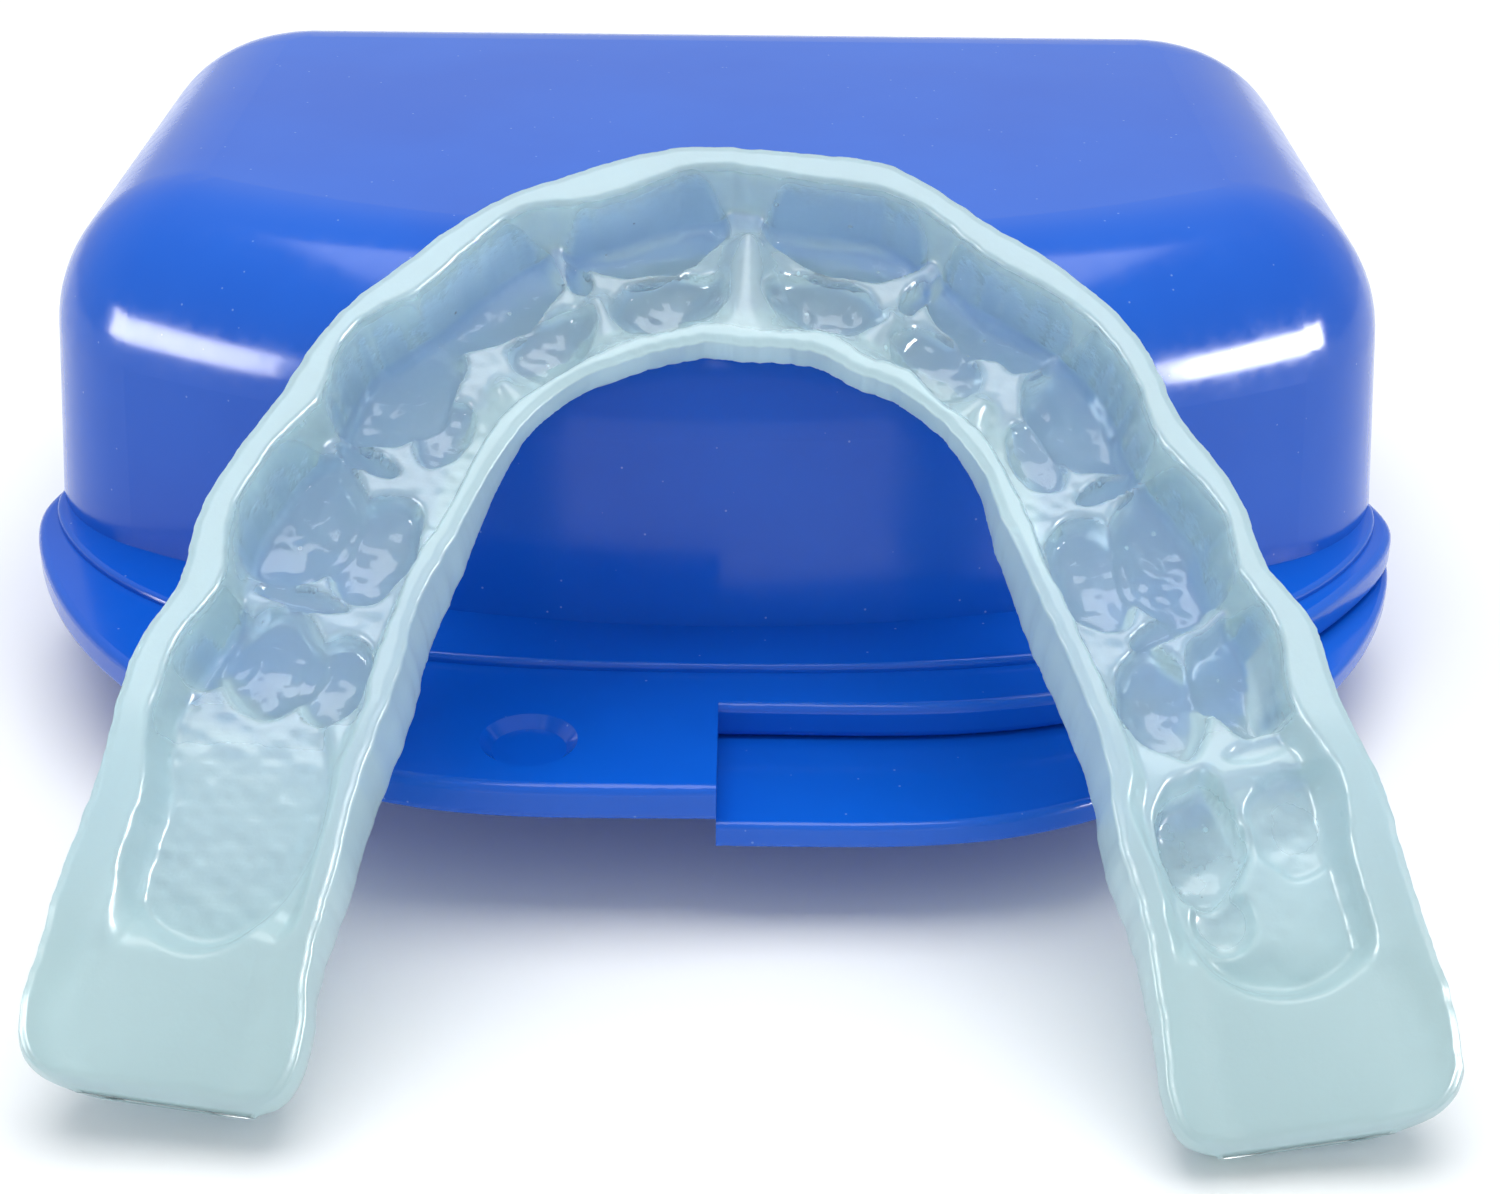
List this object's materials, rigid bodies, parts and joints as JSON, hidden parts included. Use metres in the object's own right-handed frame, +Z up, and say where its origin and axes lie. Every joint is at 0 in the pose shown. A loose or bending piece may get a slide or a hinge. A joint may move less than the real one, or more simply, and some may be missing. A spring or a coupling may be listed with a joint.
{
  "type": "mouthguard with case",
  "caption": "U-shaped translucent tooth guard with tooth prints, leaning on its closed hinged plastic box with side-by-side thumb tabs.",
  "frame": {"origin": "middle of the box on the surface it stands on", "axes": "+Z up, +Y from the thumb tabs towards the hinge, +X to the right seen from the thumb tabs"},
  "size_m": [0.0832, 0.0992, 0.037],
  "materials": {
    "blue_plastic": "glossy moulded polypropylene",
    "rod_steel": "drawn wire",
    "guard_resin": "milky translucent thermoplastic, wet gloss in the prints, matt on the trimmed rim"
  },
  "bodies": {
    "base": {"base_shell": "blue_plastic", "hinge_rod": "rod_steel"},
    "lid": {"lid_shell": "blue_plastic"},
    "guard": {"mouthguard": "guard_resin"}
  },
  "joints": [
    {"name": "lid_hinge", "type": "hinge", "parent": "base", "child": "lid", "pos_m": [0, 0.0419, 0.0068], "axis": [-1, 0, 0], "range_deg": [0, 110]},
    {"name": "guard_tip", "type": "hinge", "parent": "base", "child": "guard", "pos_m": [0, -0.0686, 0], "axis": [1, 0, 0], "range_deg": [0, 145]}
  ],
  "couplings": [
    {"joint": "guard_tip", "follows": "lid_hinge", "ratio": 1.31}
  ]
}
